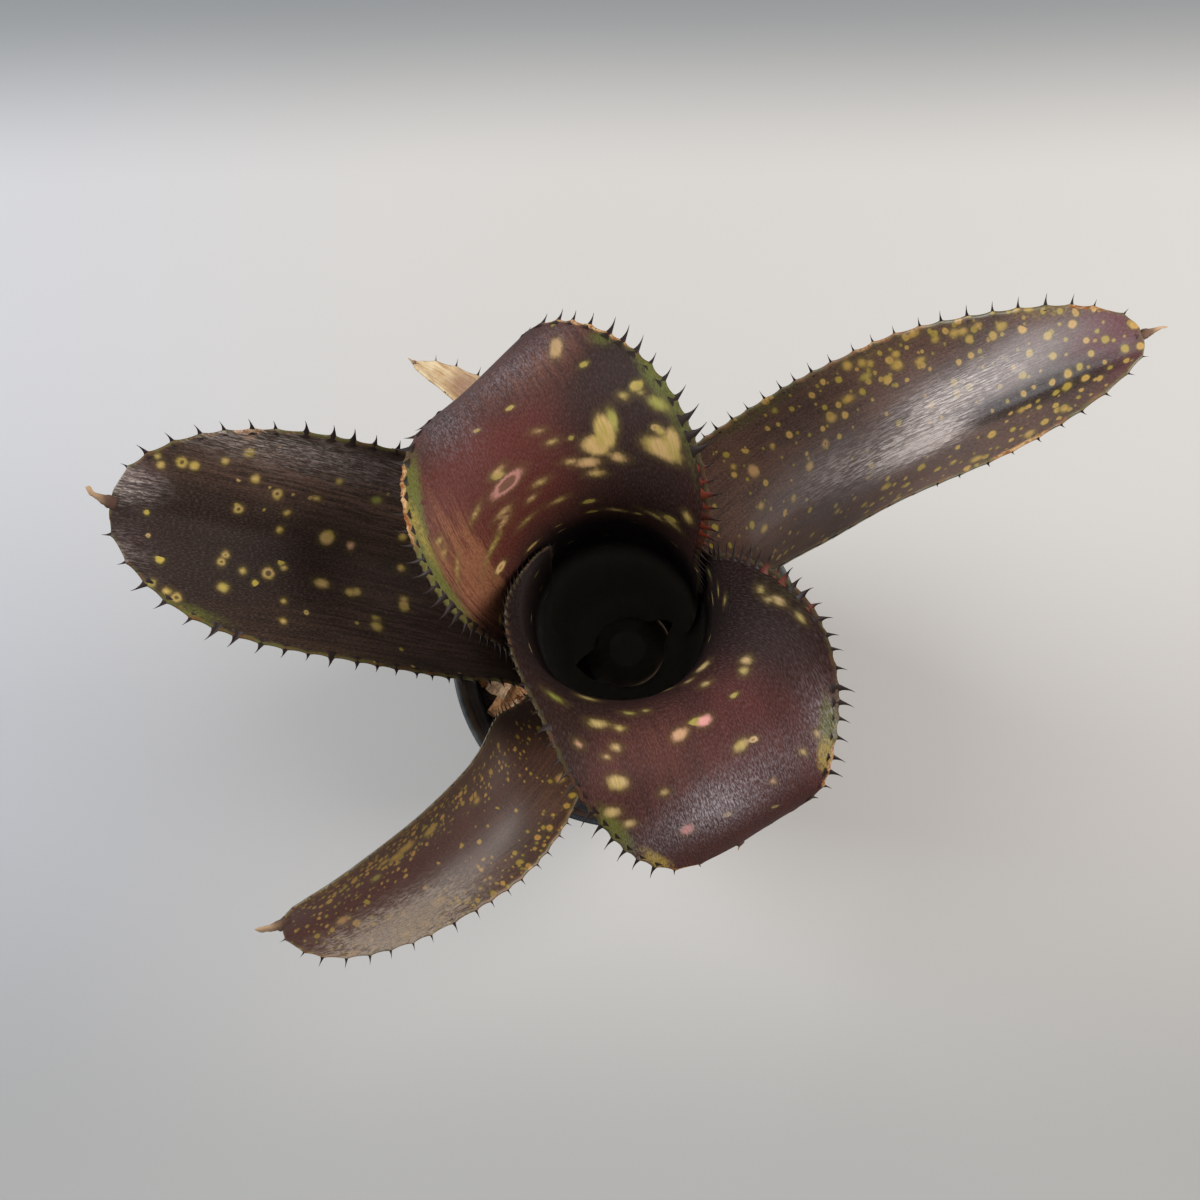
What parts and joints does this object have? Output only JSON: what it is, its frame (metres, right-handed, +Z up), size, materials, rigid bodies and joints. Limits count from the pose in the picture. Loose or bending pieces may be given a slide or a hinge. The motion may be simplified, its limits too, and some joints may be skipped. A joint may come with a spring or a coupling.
{
  "type": "potted tubular bromeliad",
  "caption": "Potted tubular bromeliad: stiff, spotted, spine-edged leaves rolled into an upright tube on a short stem, in a nursery pot of bark mix",
  "frame": {"origin": "the middle of the pot's flat underside, on the surface it stands on", "axes": "+Z up along the leaf tube; +X the way the long right leaf reaches and the picture's right; +Y the picture's up"},
  "size_m": [0.2326, 0.1563, 0.2719],
  "materials": {
    "pot_plastic": "thin injection moulded plastic, dark blue-grey, satin",
    "bark_mix": "loose orange-brown bark chips over dark fines",
    "stem_tissue": "pale brown, fibrous",
    "leaf_wine": "wine red to olive, satin, with silvery scales and cream spots",
    "leaf_olive": "near-black olive, satin, with grey scales and cream ring spots",
    "leaf_mauve": "mauve-brown, satin with a silvery sheen, and small yellow spots",
    "leaf_russet": "red-brown, satin, with many small yellow and orange spots",
    "leaf_withered": "dry, papery, tan"
  },
  "bodies": {
    "root": {"nursery_pot": "pot_plastic", "potting_mix": "bark_mix", "stem": "stem_tissue", "leaf_upper": "leaf_wine", "leaf_lower": "leaf_wine", "leaf_left": "leaf_olive", "leaf_right": "leaf_mauve", "leaf_lower_left": "leaf_russet", "leaf_dry": "leaf_withered"}
  },
  "joints": []
}
